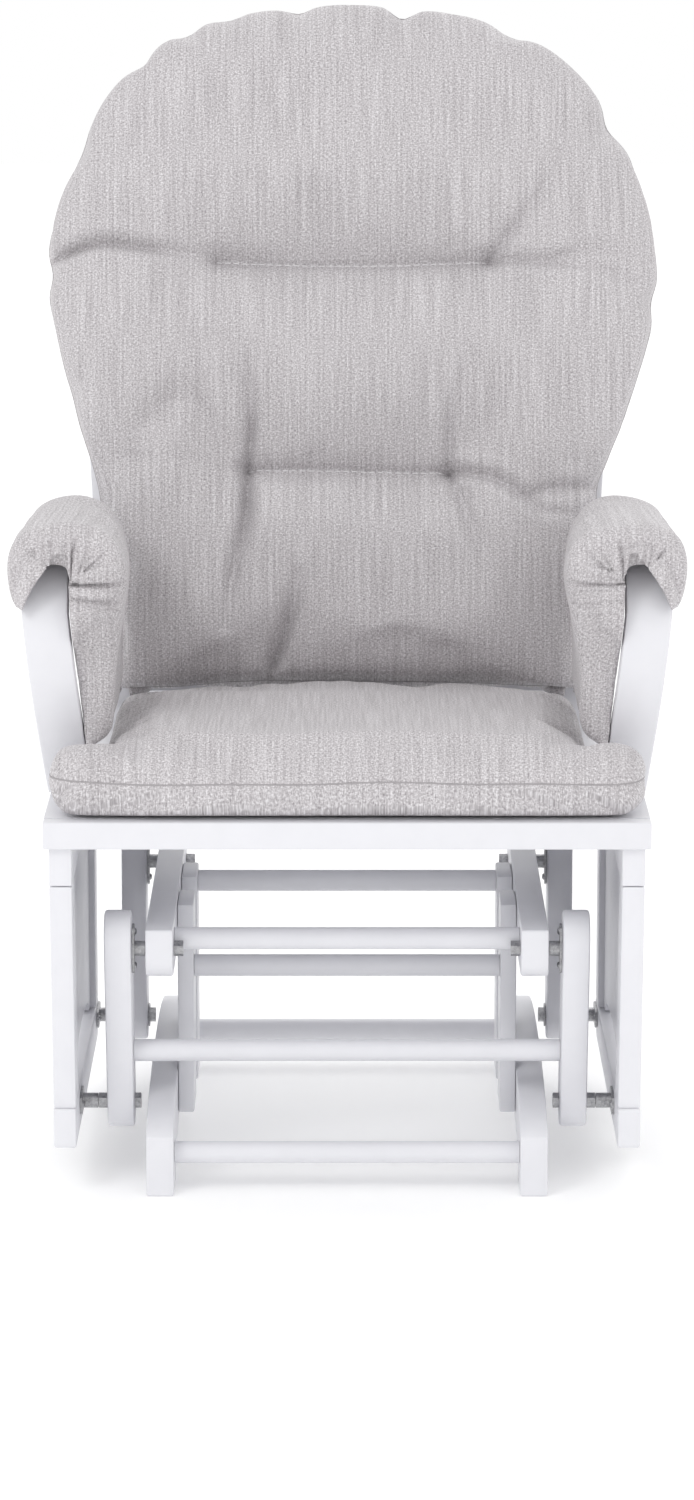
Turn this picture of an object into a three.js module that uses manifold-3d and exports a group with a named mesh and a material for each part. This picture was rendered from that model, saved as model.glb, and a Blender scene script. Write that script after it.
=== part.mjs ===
// Glider nursery chair, in millimetres. X runs across the chair, Y from front to back and Z up.
// The floor base carries four hangers. The hangers carry the seat: its side frames, deck, arms, slatted back
// and cushions. "left" is the -X side. While it is built, Y is 0 at the front face of the seat's apron.
import * as THREE from 'three';
import { mergeVertices } from 'three/addons/utils/BufferGeometryUtils.js';
import Module from 'manifold-3d';

const wasm = await Module();
wasm.setup();

// ---------- Driving dimensions ----------

const gap = 0.3; // between pieces that touch
const edgeRound = 2; // rounded arrises of the painted wood
const corner = 1.5 * edgeRound; // rounded corners of its outlines
const board = 22; // thickness of the frame boards
const SIDES = { left: -1, right: 1 };

// Seat frame
const seatWidth = 585; // across the apron
const seatDepth = 500; // apron front to the rear posts' back
const seatTop = 385; // top of the deck above the floor
const apronHeight = 27;
const deckThickness = 15;
const sideInset = 5.5; // side frames, inside the ends of the apron
const apronLap = 14; // how far the side rails run under the apron
const sideRailHeight = 49.7;
const lowerRailHeight = 40;
const lowerRailBelowPivot = 25;
const frontPostWidth = 50;
const frontPostLean = 36; // how far the front post's foot sits behind its head
const rearPostWidth = 50;
const panelThickness = 10;
const panelScallop = 26; // depth of the curve in the side panel's lower edge

// Swing linkage
const pivotBelowDeck = 145; // upper pivots, below the top of the deck
const frontPivotSetIn = 90; // front upper pivot, behind the apron's face
const rearPivotSetIn = 10; // rear upper pivot, in front of the rear posts' back
const pivotDropShare = 0.6875; // upper pivots to lower pivots, as a share of the upper pivots' height
const hangerLean = { front: 14, rear: 3 }; // degrees, with the lower ends towards each other
const hangerWidth = 52;
const hangerThickness = 26.5;
const hangerHead = 13; // how far its round head stands above the upper pivot
const hangerToSideFrame = 27.5;
const hangerToBase = 14;
const stretcherShare = 2 / 3; // where it is, as a share of the way from the upper pivots to the lower
const dowelRadius = 11;

// Pivot hardware
const boltRadius = 4;
const boltClearance = 0.3;
const openPivotClearance = 4.6; // play of the rear lower bolts in their hangers
const washerRadius = 12.5;
const washerThickness = 1.5;
const nutRadius = 7.8;
const nutThickness = 9;
const bracketWidth = 22;
const bracketLength = 50;
const bracketPlate = 2.2;
const hubRadius = 7.5;

// Floor base
const baseBoard = 27;
const topRailHeight = 50;
const topRailAbovePivot = 25;
const topRailOverhang = 30; // beyond each upper pivot
const topRailCorner = 22;
const footFront = 45; // front end of the feet in front of the upper pivot
const footRear = 100; // rear end of the feet behind the upper pivot
const footUnderStretcher = 23;
const footEndShare = 0.625; // height of the ends, as a share of the foot's height
const footArchShare = 0.396;
const footPad = 60;
const uprightThickness = 16;
const uprightWidth = 70;
const uprightSpacing = 130;
const uprightAboveArch = 8;
const uprightAbovePivot = 21;

// Back frame, set out in its own reclined plane: v runs up it and w out of its front face
const recline = 17; // degrees
const backFootBelowDeck = 60;
const stileWidth = 45;
const stileLength = 560;
const stileFootInset = 64.5; // centre of the stile's foot, inside the end of the apron
const stileSplay = 37; // how far the stile's head stands outside its foot
const crestRise = 200;
const crestDepth = 60;
const backRailFoot = 95;
const backRailHeight = 45;
const backRailThickness = 18;
const slatCount = 3;
const slatWidth = 86;
const slatThickness = 12;

// Arms
const armWidth = 45;
const armThickness = 20;
const armHeight = 229; // middle of the armrest board above the deck, where its bend ends
const armBendEnd = 190; // where that is, behind the apron's face
const armSlope = 0.065; // fall of the armrest towards the back
const armFootInset = 20.5; // centre of the arm's foot, inside the end of the apron
const armToStile = 1;

// Cushions
const seatPadHeight = 68;
const seatPadFall = 14; // the seat cushion's top drops towards the back
const seatPadSoft = 12;
const seatPadWing = 72; // depth of the wings in front of the arms
const seatPadToFlap = 5; // between its sides and the arm pads' flaps
const seatPadRear = 20; // in front of the rear posts' back
const padsApart = 3; // foot of the back cushion above the seat cushion
const backPadHeight = 690;
const backPadThickness = 104;
const backPadStandOff = 3;
const armPadRise = 37; // above the armrest board
const armPadClear = 2; // around the armrest board
const armPadLipThickness = 14;
const armPadFlap = 11; // thickness of the flap at its foot
const armPadBulge = 82; // inwards from the arm's centre, at the front
const armPadTaper = 17; // how much less it bulges at the back
const armPadFlapAboveDeck = 58;
const armPadLip = 33; // below the middle of the armrest board
const armPadFront = 75;
const armPadToCushion = 11; // in front of the back cushion

// ---------- Values worked out from the driving dimensions ----------

const radians = THREE.MathUtils.degToRad;
const seatHalf = seatWidth / 2;
const apronBottom = seatTop - apronHeight;
const deckBottom = seatTop - deckThickness;
const sideOuter = seatHalf - sideInset;
const sideInner = sideOuter - board;
const sideRailTop = deckBottom - gap;
const sideRailBottom = sideRailTop - sideRailHeight;

const hangerOuter = sideInner - hangerToSideFrame;
const hangerInner = hangerOuter - hangerThickness;
const baseOuter = hangerInner - hangerToBase;
const baseInner = baseOuter - baseBoard;

const upperPivotZ = seatTop - pivotBelowDeck;
const pivotDrop = pivotDropShare * upperPivotZ;
const pivotInset = {
  front: pivotDrop * Math.tan(radians(hangerLean.front)),
  rear: pivotDrop * Math.tan(radians(hangerLean.rear)),
};
const upperPivot = { front: frontPivotSetIn, rear: seatDepth - rearPivotSetIn };
const lowerPivot = { front: upperPivot.front + pivotInset.front, rear: upperPivot.rear - pivotInset.rear };
const lowerPivotZ = upperPivotZ - pivotDrop;
const stretcherZ = upperPivotZ - stretcherShare * pivotDrop;
const footHeight = stretcherZ - dowelRadius - footUnderStretcher;
const footEndHeight = footEndShare * footHeight;
const footArch = footArchShare * footHeight;
const lowerRailBottom = lowerPivotZ - lowerRailBelowPivot;
const lowerRailTop = lowerRailBottom + lowerRailHeight;
const pivotMiddle = (upperPivot.front + upperPivot.rear) / 2;

const sinR = Math.sin(radians(recline));
const cosR = Math.cos(radians(recline));
const tanR = Math.tan(radians(recline));
const backFootY = seatDepth + 1;
const backFootZ = seatTop - backFootBelowDeck;
const backFaceY = (z) => backFootY + (z - backFootZ) * tanR;
const stileFootX = seatHalf - stileFootInset;
const stileHeadX = stileFootX + stileSplay;
const stileX = (v) => stileFootX + stileSplay * v / stileLength;
const crestOuter = stileHeadX + stileWidth / 2;
const crestInner = stileHeadX - stileWidth / 2;
const slatPitch = (stileFootX + stileHeadX) * 0.2636;
const armTopZ = seatTop + armHeight;
const armFall = (y) => armSlope * (y - armBendEnd);
const armRearY = backFaceY(armTopZ - armFall(backFaceY(armTopZ))) + board / 2;
const armStileV = (armTopZ - armFall(armRearY) + armThickness / 2 - backFootZ + board * sinR) / cosR;
const armTopX = stileX(armStileV) + stileWidth / 2 + armToStile + armWidth / 2;
const armFootX = seatHalf - armFootInset;
const armLeanHeight = armHeight - armFall(armRearY) - armThickness / 2 - 3; // it leans outwards up to here

// The middle of the arm at a height z.
function armX(z) {
  return THREE.MathUtils.lerp(armFootX, armTopX, THREE.MathUtils.clamp((z - seatTop) / armLeanHeight, 0, 1));
}

const flapFoot = seatTop + armPadFlapAboveDeck;
const flapOuter = armX(flapFoot) - armWidth / 2 - armPadClear;
const flapInner = flapOuter - armPadFlap;
const backPadFoot = seatTop + seatPadHeight - seatPadFall + padsApart;
const backPadFaceY = (z) => backFaceY(z) - backPadStandOff - backPadThickness / cosR;

// ---------- Materials ----------

const paint = new THREE.MeshStandardMaterial({ color: 0xf1f1f5, roughness: 0.35, metalness: 0 });
const linen = new THREE.MeshStandardMaterial({ color: 0xcdc8cb, roughness: 0.95, metalness: 0 });
const zinc = new THREE.MeshStandardMaterial({ color: 0xa9a69f, roughness: 0.35, metalness: 0.9 });

// ---------- Shaping helpers ----------

const chair = new THREE.Group();

function add(name, geometry, material) {
  const mesh = new THREE.Mesh(geometry, material);
  mesh.name = name;
  chair.add(mesh);
}

function solidOf(geometry) {
  const bare = geometry.clone();
  bare.deleteAttribute('normal');
  bare.deleteAttribute('uv');
  const merged = mergeVertices(bare);
  return new wasm.Manifold(new wasm.Mesh({
    numProp: 3,
    vertProperties: merged.attributes.position.array,
    triVerts: new Uint32Array(merged.index.array),
  }));
}

function geometryOf(solid) {
  const mesh = solid.getMesh();
  const geometry = new THREE.BufferGeometry();
  geometry.setAttribute('position', new THREE.BufferAttribute(mesh.vertProperties, 3));
  geometry.setIndex(new THREE.BufferAttribute(mesh.triVerts, 1));
  geometry.computeVertexNormals();
  return geometry;
}

const joined = (...parts) => geometryOf(parts.map(solidOf).reduce((a, b) => a.add(b)));
const common = (a, b) => geometryOf(solidOf(a).intersect(solidOf(b)));

// An outline whose corners [a, b, radius] are rounded; a corner with no radius stays sharp.
function outline(corners, steps = 4) {
  const points = [];
  corners.forEach(([a, b, radius = 0], i) => {
    const tip = new THREE.Vector2(a, b);
    if (!radius) {
      points.push(tip);
      return;
    }
    const before = new THREE.Vector2(...corners.at(i - 1).slice(0, 2)).sub(tip).setLength(radius);
    const after = new THREE.Vector2(...corners[(i + 1) % corners.length].slice(0, 2)).sub(tip);
    after.setLength(radius);
    const start = before.add(tip);
    const end = after.add(tip);
    points.push(...new THREE.QuadraticBezierCurve(start, tip, end).getPoints(steps));
  });
  return new THREE.Shape(points);
}

// Points of an elliptical arch from (a0, base) to (a1, base), rising by rise.
function arch(a0, a1, base, rise, steps) {
  const middle = (a0 + a1) / 2;
  return Array.from({ length: steps + 1 }, (_, i) => {
    const turn = Math.PI * i / steps;
    return [middle - (middle - a0) * Math.cos(turn), base + rise * Math.sin(turn)];
  });
}

// The outline of a bar with round ends between two points.
function roundBar([a0, b0], [a1, b1], radius, steps = 8) {
  const heading = Math.atan2(b1 - b0, a1 - a0);
  const points = [];
  for (const [a, b, start] of [[a0, b0, heading + Math.PI / 2], [a1, b1, heading - Math.PI / 2]]) {
    for (let i = 0; i <= steps; i++) {
      const turn = start + Math.PI * i / steps;
      points.push(new THREE.Vector2(a + radius * Math.cos(turn), b + radius * Math.sin(turn)));
    }
  }
  return new THREE.Shape(points);
}

function roundHole(a, b, radius) {
  return new THREE.Path().absarc(a, b, radius, 0, 2 * Math.PI);
}

// A board of the given outline, from low to high along its third axis, with rounded arrises.
function sawn(shape, low, high, round = edgeRound) {
  const geometry = new THREE.ExtrudeGeometry(shape, {
    depth: high - low - 2 * round,
    bevelEnabled: round > 0,
    bevelThickness: round,
    bevelSize: round,
    bevelOffset: -round,
    bevelSegments: 2,
    curveSegments: 8,
  });
  return geometry.translate(0, 0, low + round);
}

const X = new THREE.Vector3(1, 0, 0);
const Y = new THREE.Vector3(0, 1, 0);
const Z = new THREE.Vector3(0, 0, 1);
const sideView = new THREE.Matrix4().makeBasis(Y, Z, X); // outline (y, z), thickness along X
const frontView = new THREE.Matrix4().makeBasis(X, Z, Y.clone().negate()); // outline (x, z), along -Y
const backPlane = new THREE.Matrix4()
  .makeBasis(X, new THREE.Vector3(0, sinR, cosR), new THREE.Vector3(0, -cosR, sinR))
  .setPosition(0, backFootY, backFootZ);

// A board whose outline is drawn from the side, on one side of the chair between two X distances.
function sideBoard(side, shape, inner, outer, round = edgeRound) {
  const [low, high] = side < 0 ? [-outer, -inner] : [inner, outer];
  return sawn(shape, low, high, round).applyMatrix4(sideView);
}

function crossBoard(shape, halfLength, round = edgeRound) {
  return sawn(shape, -halfLength, halfLength, round).applyMatrix4(sideView);
}

// A turned bar or bolt length along X.
function rod(y, z, radius, x0, x1, segments = 24) {
  const geometry = new THREE.CylinderGeometry(radius, radius, Math.abs(x1 - x0), segments);
  return geometry.rotateZ(Math.PI / 2).translate((x0 + x1) / 2, y, z);
}

function moveVertices(geometry, move) {
  const position = geometry.attributes.position;
  const point = new THREE.Vector3();
  for (let i = 0; i < position.count; i++) {
    move(point.fromBufferAttribute(position, i));
    position.setXYZ(i, point.x, point.y, point.z);
  }
  geometry.computeVertexNormals();
  return geometry;
}

// ---------- Floor base ----------

function foot(side) {
  const front = upperPivot.front - footFront;
  const rear = upperPivot.rear + footRear;
  const under = arch(rear - footPad, front + footPad, 0, footArch, 14).reverse();
  const top = arch(rear, front, footEndHeight, footHeight - footEndHeight, 14);
  const shape = outline([[front, 0, corner], ...under, [rear, 0, corner], ...top]);
  return sideBoard(side, shape, baseInner, baseOuter);
}

function topRail(side) {
  const front = upperPivot.front - topRailOverhang;
  const rear = upperPivot.rear + topRailOverhang;
  const top = upperPivotZ + topRailAbovePivot;
  const bottom = top - topRailHeight;
  const shape = outline([
    [front, bottom, topRailCorner], [rear, bottom, topRailCorner], [rear, top, corner], [front, top, corner],
  ]);
  for (const y of Object.values(upperPivot)) {
    shape.holes.push(roundHole(y, upperPivotZ, boltRadius + boltClearance));
  }
  return sideBoard(side, shape, baseInner, baseOuter);
}

function upright(side, y) {
  const [front, rear] = [y - uprightWidth / 2, y + uprightWidth / 2];
  const [bottom, top] = [footArch + uprightAboveArch, upperPivotZ + uprightAbovePivot];
  const places = [[front, bottom], [rear, bottom], [rear, top], [front, top]];
  const shape = outline(places.map((place) => [...place, corner]), 2);
  return sideBoard(side, shape, baseInner - gap - uprightThickness, baseInner - gap);
}

// A hex head or nut on the base rail's inner face, with its bolt running out to the hanger's bracket.
function upperBolt(side, y) {
  const face = baseInner - gap;
  const head = rod(y, upperPivotZ, nutRadius, side * (face - nutThickness), side * face, 6);
  const shank = rod(y, upperPivotZ, boltRadius, side * (face - 1), side * (hangerInner - gap - 0.5), 12);
  return joined(head, shank);
}

for (const [name, side] of Object.entries(SIDES)) {
  add(`base_foot_${name}`, foot(side), paint);
  add(`base_top_rail_${name}`, topRail(side), paint);
  add(`base_upright_front_${name}`, upright(side, pivotMiddle - uprightSpacing / 2), paint);
  add(`base_upright_rear_${name}`, upright(side, pivotMiddle + uprightSpacing / 2), paint);
  for (const [end, y] of Object.entries(upperPivot)) {
    add(`upper_pivot_bolt_${end}_${name}`, upperBolt(side, y), zinc);
  }
}

const betweenRails = baseInner - gap;
const betweenUprights = baseInner - 2 * gap - uprightThickness;
const crossbars = {
  base_crossbar_upper_front: [upperPivot.front + 22, upperPivotZ + 5, betweenRails],
  base_crossbar_upper_rear: [pivotMiddle + uprightSpacing / 2 + 5, upperPivotZ + 8, betweenUprights],
  base_crossbar_middle: [pivotMiddle - uprightSpacing / 2 - 10, upperPivotZ - 47, betweenUprights],
  base_crossbar_lower_front: [upperPivot.front - 18, footArch, betweenRails],
  base_crossbar_lower_rear: [upperPivot.rear + 74, footArch, betweenRails],
};
for (const [name, [y, z, half]] of Object.entries(crossbars)) {
  add(name, rod(y, z, dowelRadius, -half, half), paint);
}

// ---------- Hangers ----------

// The lower hole fits its bolt at the front; at the rear it is wide, as the linkage is opened there.
function hanger(side, end) {
  const headY = upperPivot[end] + hangerHead * (upperPivot[end] - lowerPivot[end]) / pivotDrop;
  const shape = roundBar([headY, upperPivotZ + hangerHead], [lowerPivot[end], lowerPivotZ], hangerWidth / 2);
  const play = end === 'rear' ? openPivotClearance : boltClearance;
  shape.holes.push(roundHole(lowerPivot[end], lowerPivotZ, boltRadius + play));
  return sideBoard(side, shape, hangerInner, hangerOuter, 3);
}

// A pressed plate with a hub. The plate is on a face at X = seat, lying along Y or upright, and the hub
// reaches to X = tip.
function bracket(side, y, z, seat, tip, lying) {
  const reach = (bracketLength - bracketWidth) / 2;
  const [dy, dz] = lying ? [reach, 0] : [0, reach];
  const shape = roundBar([y - dy, z - dz], [y + dy, z + dz], bracketWidth / 2, 4);
  shape.holes.push(roundHole(y, z, boltRadius + boltClearance));
  const towards = Math.sign(tip - seat);
  const plateInner = seat + towards * bracketPlate;
  const plate = sideBoard(side, shape, Math.min(seat, plateInner), Math.max(seat, plateInner), 0);
  const ring = new THREE.Shape().absarc(y, z, hubRadius, 0, 2 * Math.PI);
  ring.holes.push(roundHole(y, z, boltRadius + boltClearance));
  const hubStart = seat + towards * bracketPlate / 2;
  const hub = sideBoard(side, ring, Math.min(hubStart, tip), Math.max(hubStart, tip), 0);
  return joined(plate, hub);
}

// A bolt through the hanger: head on its inner face, hex collar outside it, end in the seat's bracket.
function lowerBolt(side, end) {
  const y = lowerPivot[end];
  const parts = [];
  const inside = hangerInner - gap - (end === 'rear' ? gap : 0);
  const outside = hangerOuter + gap + (end === 'rear' ? gap : 0);
  let headFace = inside;
  if (end === 'rear') {
    headFace = inside - washerThickness;
    parts.push(rod(y, lowerPivotZ, washerRadius, side * headFace, side * inside, 20));
  }
  parts.push(rod(y, lowerPivotZ, nutRadius, side * (headFace - 6), side * (headFace + 0.2), 6));
  parts.push(rod(y, lowerPivotZ, nutRadius, side * outside, side * (outside + nutThickness), 6));
  parts.push(rod(y, lowerPivotZ, boltRadius, side * (headFace - 1), side * (sideInner - 1), 12));
  return joined(...parts);
}

for (const [name, side] of Object.entries(SIDES)) {
  for (const end of ['front', 'rear']) {
    add(`hanger_${end}_${name}`, hanger(side, end), paint);
    const upper = bracket(side, upperPivot[end], upperPivotZ, hangerInner - gap, baseOuter + gap + 1, false);
    add(`upper_bracket_${end}_${name}`, upper, zinc);
    const lowerTip = hangerOuter + 3 * gap + nutThickness;
    const lower = bracket(side, lowerPivot[end], lowerPivotZ, sideInner - gap, lowerTip, true);
    add(`lower_bracket_${end}_${name}`, lower, zinc);
    add(`lower_pivot_bolt_${end}_${name}`, lowerBolt(side, end), zinc);
  }
}

const stretcherY = upperPivot.front + pivotInset.front * stretcherShare;
const stretcherHalf = hangerInner - gap;
add('hanger_stretcher', rod(stretcherY, stretcherZ, dowelRadius, -stretcherHalf, stretcherHalf), paint);

// ---------- Seat frame ----------

function apron() {
  const places = [[0, apronBottom], [board, apronBottom], [board, seatTop], [0, seatTop]];
  const shape = outline(places.map((place) => [...place, corner]), 3);
  return crossBoard(shape, seatHalf);
}

function deck() {
  const front = board + gap;
  const rear = backFaceY(deckBottom) - 6;
  const shape = outline([[front, deckBottom], [rear, deckBottom], [rear, seatTop], [front, seatTop]]);
  return crossBoard(shape, seatHalf, 1);
}

// Leans with the back, so that the stiles screw flat against it.
function rearRail() {
  const rear = (z) => backFaceY(z) - gap;
  const front = (z) => rear(z) - board / cosR;
  const shape = outline([
    [front(sideRailBottom), sideRailBottom],
    [rear(sideRailBottom), sideRailBottom],
    [rear(sideRailTop), sideRailTop],
    [front(sideRailTop), sideRailTop],
  ]);
  return crossBoard(shape, sideInner - gap);
}

function upperSideRail(side) {
  const front = board - apronLap;
  const step = board + gap;
  const shape = outline([
    [front, sideRailBottom, corner],
    [backFaceY(sideRailBottom), sideRailBottom, corner],
    [backFaceY(sideRailTop), sideRailTop],
    [step, sideRailTop],
    [step, apronBottom - gap],
    [front, apronBottom - gap],
  ], 3);
  return sideBoard(side, shape, sideInner, sideOuter, 1.5);
}

const postTop = sideRailBottom - gap;
const frontPostHead = board - apronLap;
const frontPostFoot = frontPostHead + frontPostLean;
const rearPostFront = seatDepth - rearPostWidth;
const postFoot = lowerRailTop + gap;

function frontPost(side) {
  const width = frontPostWidth;
  const shape = outline([
    [frontPostFoot, postFoot],
    [frontPostFoot + width, postFoot],
    [frontPostHead + width, postTop],
    [frontPostHead, postTop],
  ]);
  return sideBoard(side, shape, sideInner, sideOuter);
}

function rearPost(side) {
  const shape = outline([
    [rearPostFront, postFoot],
    [seatDepth, postFoot],
    [seatDepth, postTop],
    [rearPostFront, postTop],
  ]);
  return sideBoard(side, shape, sideInner, sideOuter);
}

function lowerSideRail(side) {
  const front = frontPostFoot - 4;
  const shape = outline([
    [front, lowerRailBottom, 2 * corner],
    [seatDepth - 4, lowerRailBottom, 20],
    [seatDepth + 10, lowerRailTop, 12],
    [front, lowerRailTop, corner],
  ]);
  return sideBoard(side, shape, sideInner, sideOuter);
}

// The thin panel that closes the side frame, let in between its four boards.
function sidePanel(side) {
  const front = (z) => frontPostFoot + frontPostWidth + gap
    - frontPostLean * (z - postFoot) / (postTop - postFoot);
  const rear = rearPostFront - gap;
  const bottom = lowerRailTop + gap + 2;
  const lowerEdge = arch(rear - 20, front(bottom) + 20, bottom, panelScallop, 10).reverse();
  const shape = outline([
    [front(bottom), bottom], ...lowerEdge, [rear, bottom], [rear, postTop], [front(postTop), postTop],
  ]);
  const inner = sideInner + (board - panelThickness) / 2;
  return sideBoard(side, shape, inner, inner + panelThickness, 1);
}

add('seat_apron', apron(), paint);
add('seat_deck', deck(), paint);
add('seat_rear_rail', rearRail(), paint);
for (const [name, side] of Object.entries(SIDES)) {
  add(`side_rail_upper_${name}`, upperSideRail(side), paint);
  add(`side_rail_lower_${name}`, lowerSideRail(side), paint);
  add(`side_post_front_${name}`, frontPost(side), paint);
  add(`side_post_rear_${name}`, rearPost(side), paint);
  add(`side_panel_${name}`, sidePanel(side), paint);
}

// ---------- Back frame ----------

function stile(side) {
  const half = stileWidth / 2;
  const shape = outline([
    [side * (stileFootX + side * half), 0, corner],
    [side * (stileHeadX + side * half), stileLength],
    [side * (stileHeadX - side * half), stileLength],
    [side * (stileFootX - side * half), 0, corner],
  ], 3);
  return sawn(shape, -board, 0).applyMatrix4(backPlane);
}

function crest() {
  const base = stileLength + gap;
  const outer = arch(crestOuter, -crestOuter, base, crestRise, 24);
  const inner = arch(-crestInner, crestInner, base, crestRise - crestDepth, 24);
  return sawn(outline([...outer, ...inner]), -board, 0).applyMatrix4(backPlane);
}

const slatFoot = backRailFoot + backRailHeight + gap;
function crestUnderside(x) {
  return stileLength + (crestRise - crestDepth) * Math.sqrt(1 - (x / crestInner) ** 2) - 3 * gap;
}
const centred = (thickness) => [-(board + thickness) / 2, -(board - thickness) / 2];

function backRail() {
  const inside = (v) => stileX(v) - stileWidth / 2 - gap;
  const top = backRailFoot + backRailHeight;
  const shape = outline([
    [-inside(backRailFoot), backRailFoot],
    [inside(backRailFoot), backRailFoot],
    [inside(top), top],
    [-inside(top), top],
  ]);
  return sawn(shape, ...centred(backRailThickness)).applyMatrix4(backPlane);
}

function slat(x) {
  const half = slatWidth / 2;
  const top = [half, half / 2, 0, -half / 2, -half].map((dx) => [x + dx, crestUnderside(x + dx)]);
  const shape = outline([[x - half, slatFoot], [x + half, slatFoot], ...top]);
  return sawn(shape, ...centred(slatThickness)).applyMatrix4(backPlane);
}

for (const [name, side] of Object.entries(SIDES)) {
  add(`back_stile_${name}`, stile(side), paint);
}
add('back_crest', crest(), paint);
add('back_lower_rail', backRail(), paint);
for (let i = 0; i < slatCount; i++) {
  add(`back_slat_${i + 1}`, slat((i - (slatCount - 1) / 2) * slatPitch), paint);
}

// ---------- Arms ----------

// The arm is one bent board. From its foot on the deck it bows forwards, rises, turns back and runs to the
// stile.
function arm(side) {
  const at = (y, height) => new THREE.Vector3(0, y, seatTop + height);
  const onBoard = (y) => at(y, armHeight - armFall(y));
  const course = new THREE.CurvePath();
  course.add(new THREE.CubicBezierCurve3(at(150, 0), at(128, 45), at(90, 95), at(92, 150)));
  course.add(new THREE.CubicBezierCurve3(at(92, 150), at(94, 205), onBoard(125), onBoard(armBendEnd)));
  course.add(new THREE.LineCurve3(onBoard(armBendEnd), onBoard(armRearY)));
  const front = [];
  const back = [];
  const half = armThickness / 2;
  for (const curve of course.curves) {
    const steps = curve.isLineCurve3 ? 1 : 12;
    for (let i = front.length ? 1 : 0; i <= steps; i++) {
      const middle = curve.getPoint(i / steps);
      const along = curve.getTangent(i / steps);
      front.push(new THREE.Vector2(middle.y - along.z * half, middle.z + along.y * half));
      back.unshift(new THREE.Vector2(middle.y + along.z * half, middle.z - along.y * half));
    }
  }
  front[0].y = seatTop + gap;
  back.at(-1).y = seatTop + gap;
  const geometry = sideBoard(1, new THREE.Shape([...front, ...back]), -armWidth / 2, armWidth / 2, 3);
  return moveVertices(geometry, (point) => {
    point.x += side * armX(point.z);
  });
}

for (const [name, side] of Object.entries(SIDES)) {
  add(`arm_${name}`, arm(side), paint);
}

// ---------- Cushions ----------

function seatCushion() {
  const bottom = seatTop + gap + 0.7;
  const rear = seatDepth - seatPadRear;
  const front = -2;
  const wide = seatHalf;
  const waist = flapInner - seatPadToFlap;
  const soft = 20;
  const shape = outline([
    [-wide, front, soft], [wide, front, soft], [wide, seatPadWing, soft],
    [waist, seatPadWing, 8], [waist, rear, soft],
    [-waist, rear, soft], [-waist, seatPadWing, 8], [-wide, seatPadWing, soft],
  ], 3);
  const geometry = sawn(shape, bottom, bottom + seatPadHeight, seatPadSoft);
  const middle = bottom + seatPadHeight / 2;
  return moveVertices(geometry, (point) => {
    if (point.z > middle) point.z -= seatPadFall * Math.max(point.y, 0) / rear;
  });
}

// Narrow between the arms, widest above them, with a round head. The outline is given from the stile's foot
// outwards and from the cushion's foot upwards.
function backCushion() {
  const head = backPadFoot + backPadHeight;
  const half = [
    [18, 0], [26, 78], [33, 178], [40, 248], [72, 323], [92, 398],
    [84, 468], [57, 538], [14, 598], [-50, 650], [-133, 680], [-stileFootX, backPadHeight],
  ].map(([out, up]) => [stileFootX + out, backPadFoot + up]);
  const mirrored = half.slice(0, -1).reverse().map(([x, z]) => [-x, z]);
  const face = sawn(outline([...half, ...mirrored]), -900, 0, 0).applyMatrix4(frontView);
  const back = (z) => backFaceY(z) - backPadStandOff;
  const soft = backPadThickness / 2;
  const profile = outline([
    [backPadFaceY(backPadFoot) + 6, backPadFoot, 0.6 * soft],
    [back(backPadFoot), backPadFoot, 0.4 * soft],
    [back(head), head, 0.8 * soft],
    [backPadFaceY(head), head, soft],
  ], 5);
  return common(face, crossBoard(profile, seatWidth, 0));
}

// A sleeve over the armrest: a short lip outside and a long flap inside, open below. It slopes with the
// armrest.
function armPad(side) {
  const boardTop = armTopZ + armThickness / 2;
  const padTop = boardTop + armPadRise;
  const lipFoot = armTopZ - armPadLip;
  const rear = backPadFaceY(armTopZ) - armPadToCushion - armFall(armRearY) * tanR;
  const clear = armWidth / 2 + armPadClear;
  const lip = clear + armPadLipThickness;
  const bulge = armTopX - armPadBulge;
  const section = outline([
    [armTopX + lip, lipFoot, 5],
    [armTopX + lip, padTop, 36],
    [bulge, padTop, 36],
    [bulge, armTopZ - 20, 20],
    [flapInner, flapFoot, 5],
    [flapOuter, flapFoot, 4],
    [armTopX - clear, armTopZ - 5],
    [armTopX - clear, boardTop + 1],
    [armTopX + clear, boardTop + 1],
    [armTopX + clear, lipFoot, 4],
  ].map(([x, z, radius]) => [side * x, z, radius]));
  const profile = outline([
    [armPadFront + 35, flapFoot, 10],
    [rear - 60, flapFoot, 10],
    [rear, armTopZ, 20],
    [rear, padTop, 20],
    [armPadFront, padTop, 25],
    [armPadFront, lipFoot - 20, 20],
  ], 3);
  const sleeve = sawn(section, -rear - 10, 0, 0).applyMatrix4(frontView);
  return moveVertices(common(sleeve, crossBoard(profile, seatWidth, 0)), (point) => {
    const towardsBack = (point.y - armPadFront) / (rear - armPadFront);
    const inward = THREE.MathUtils.clamp((flapInner - side * point.x) / (flapInner - bulge), 0, 1);
    point.x += side * armPadTaper * towardsBack * inward;
    point.z -= armFall(point.y) * THREE.MathUtils.clamp((point.z - flapFoot) / (lipFoot - flapFoot), 0, 1);
  });
}

add('seat_cushion', seatCushion(), linen);
add('back_cushion', backCushion(), linen);
for (const [name, side] of Object.entries(SIDES)) {
  add(`arm_pad_${name}`, armPad(side), linen);
}

// ---------- Stand the chair on its origin: bottom centre of its bounding box ----------

const bounds = new THREE.Box3().setFromObject(chair, true);
chair.position.y = -(bounds.min.y + bounds.max.y) / 2;

export default chair;
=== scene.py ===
import math

import bmesh
import bpy
import numpy as np
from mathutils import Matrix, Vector
from mathutils.bvhtree import BVHTree


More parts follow.
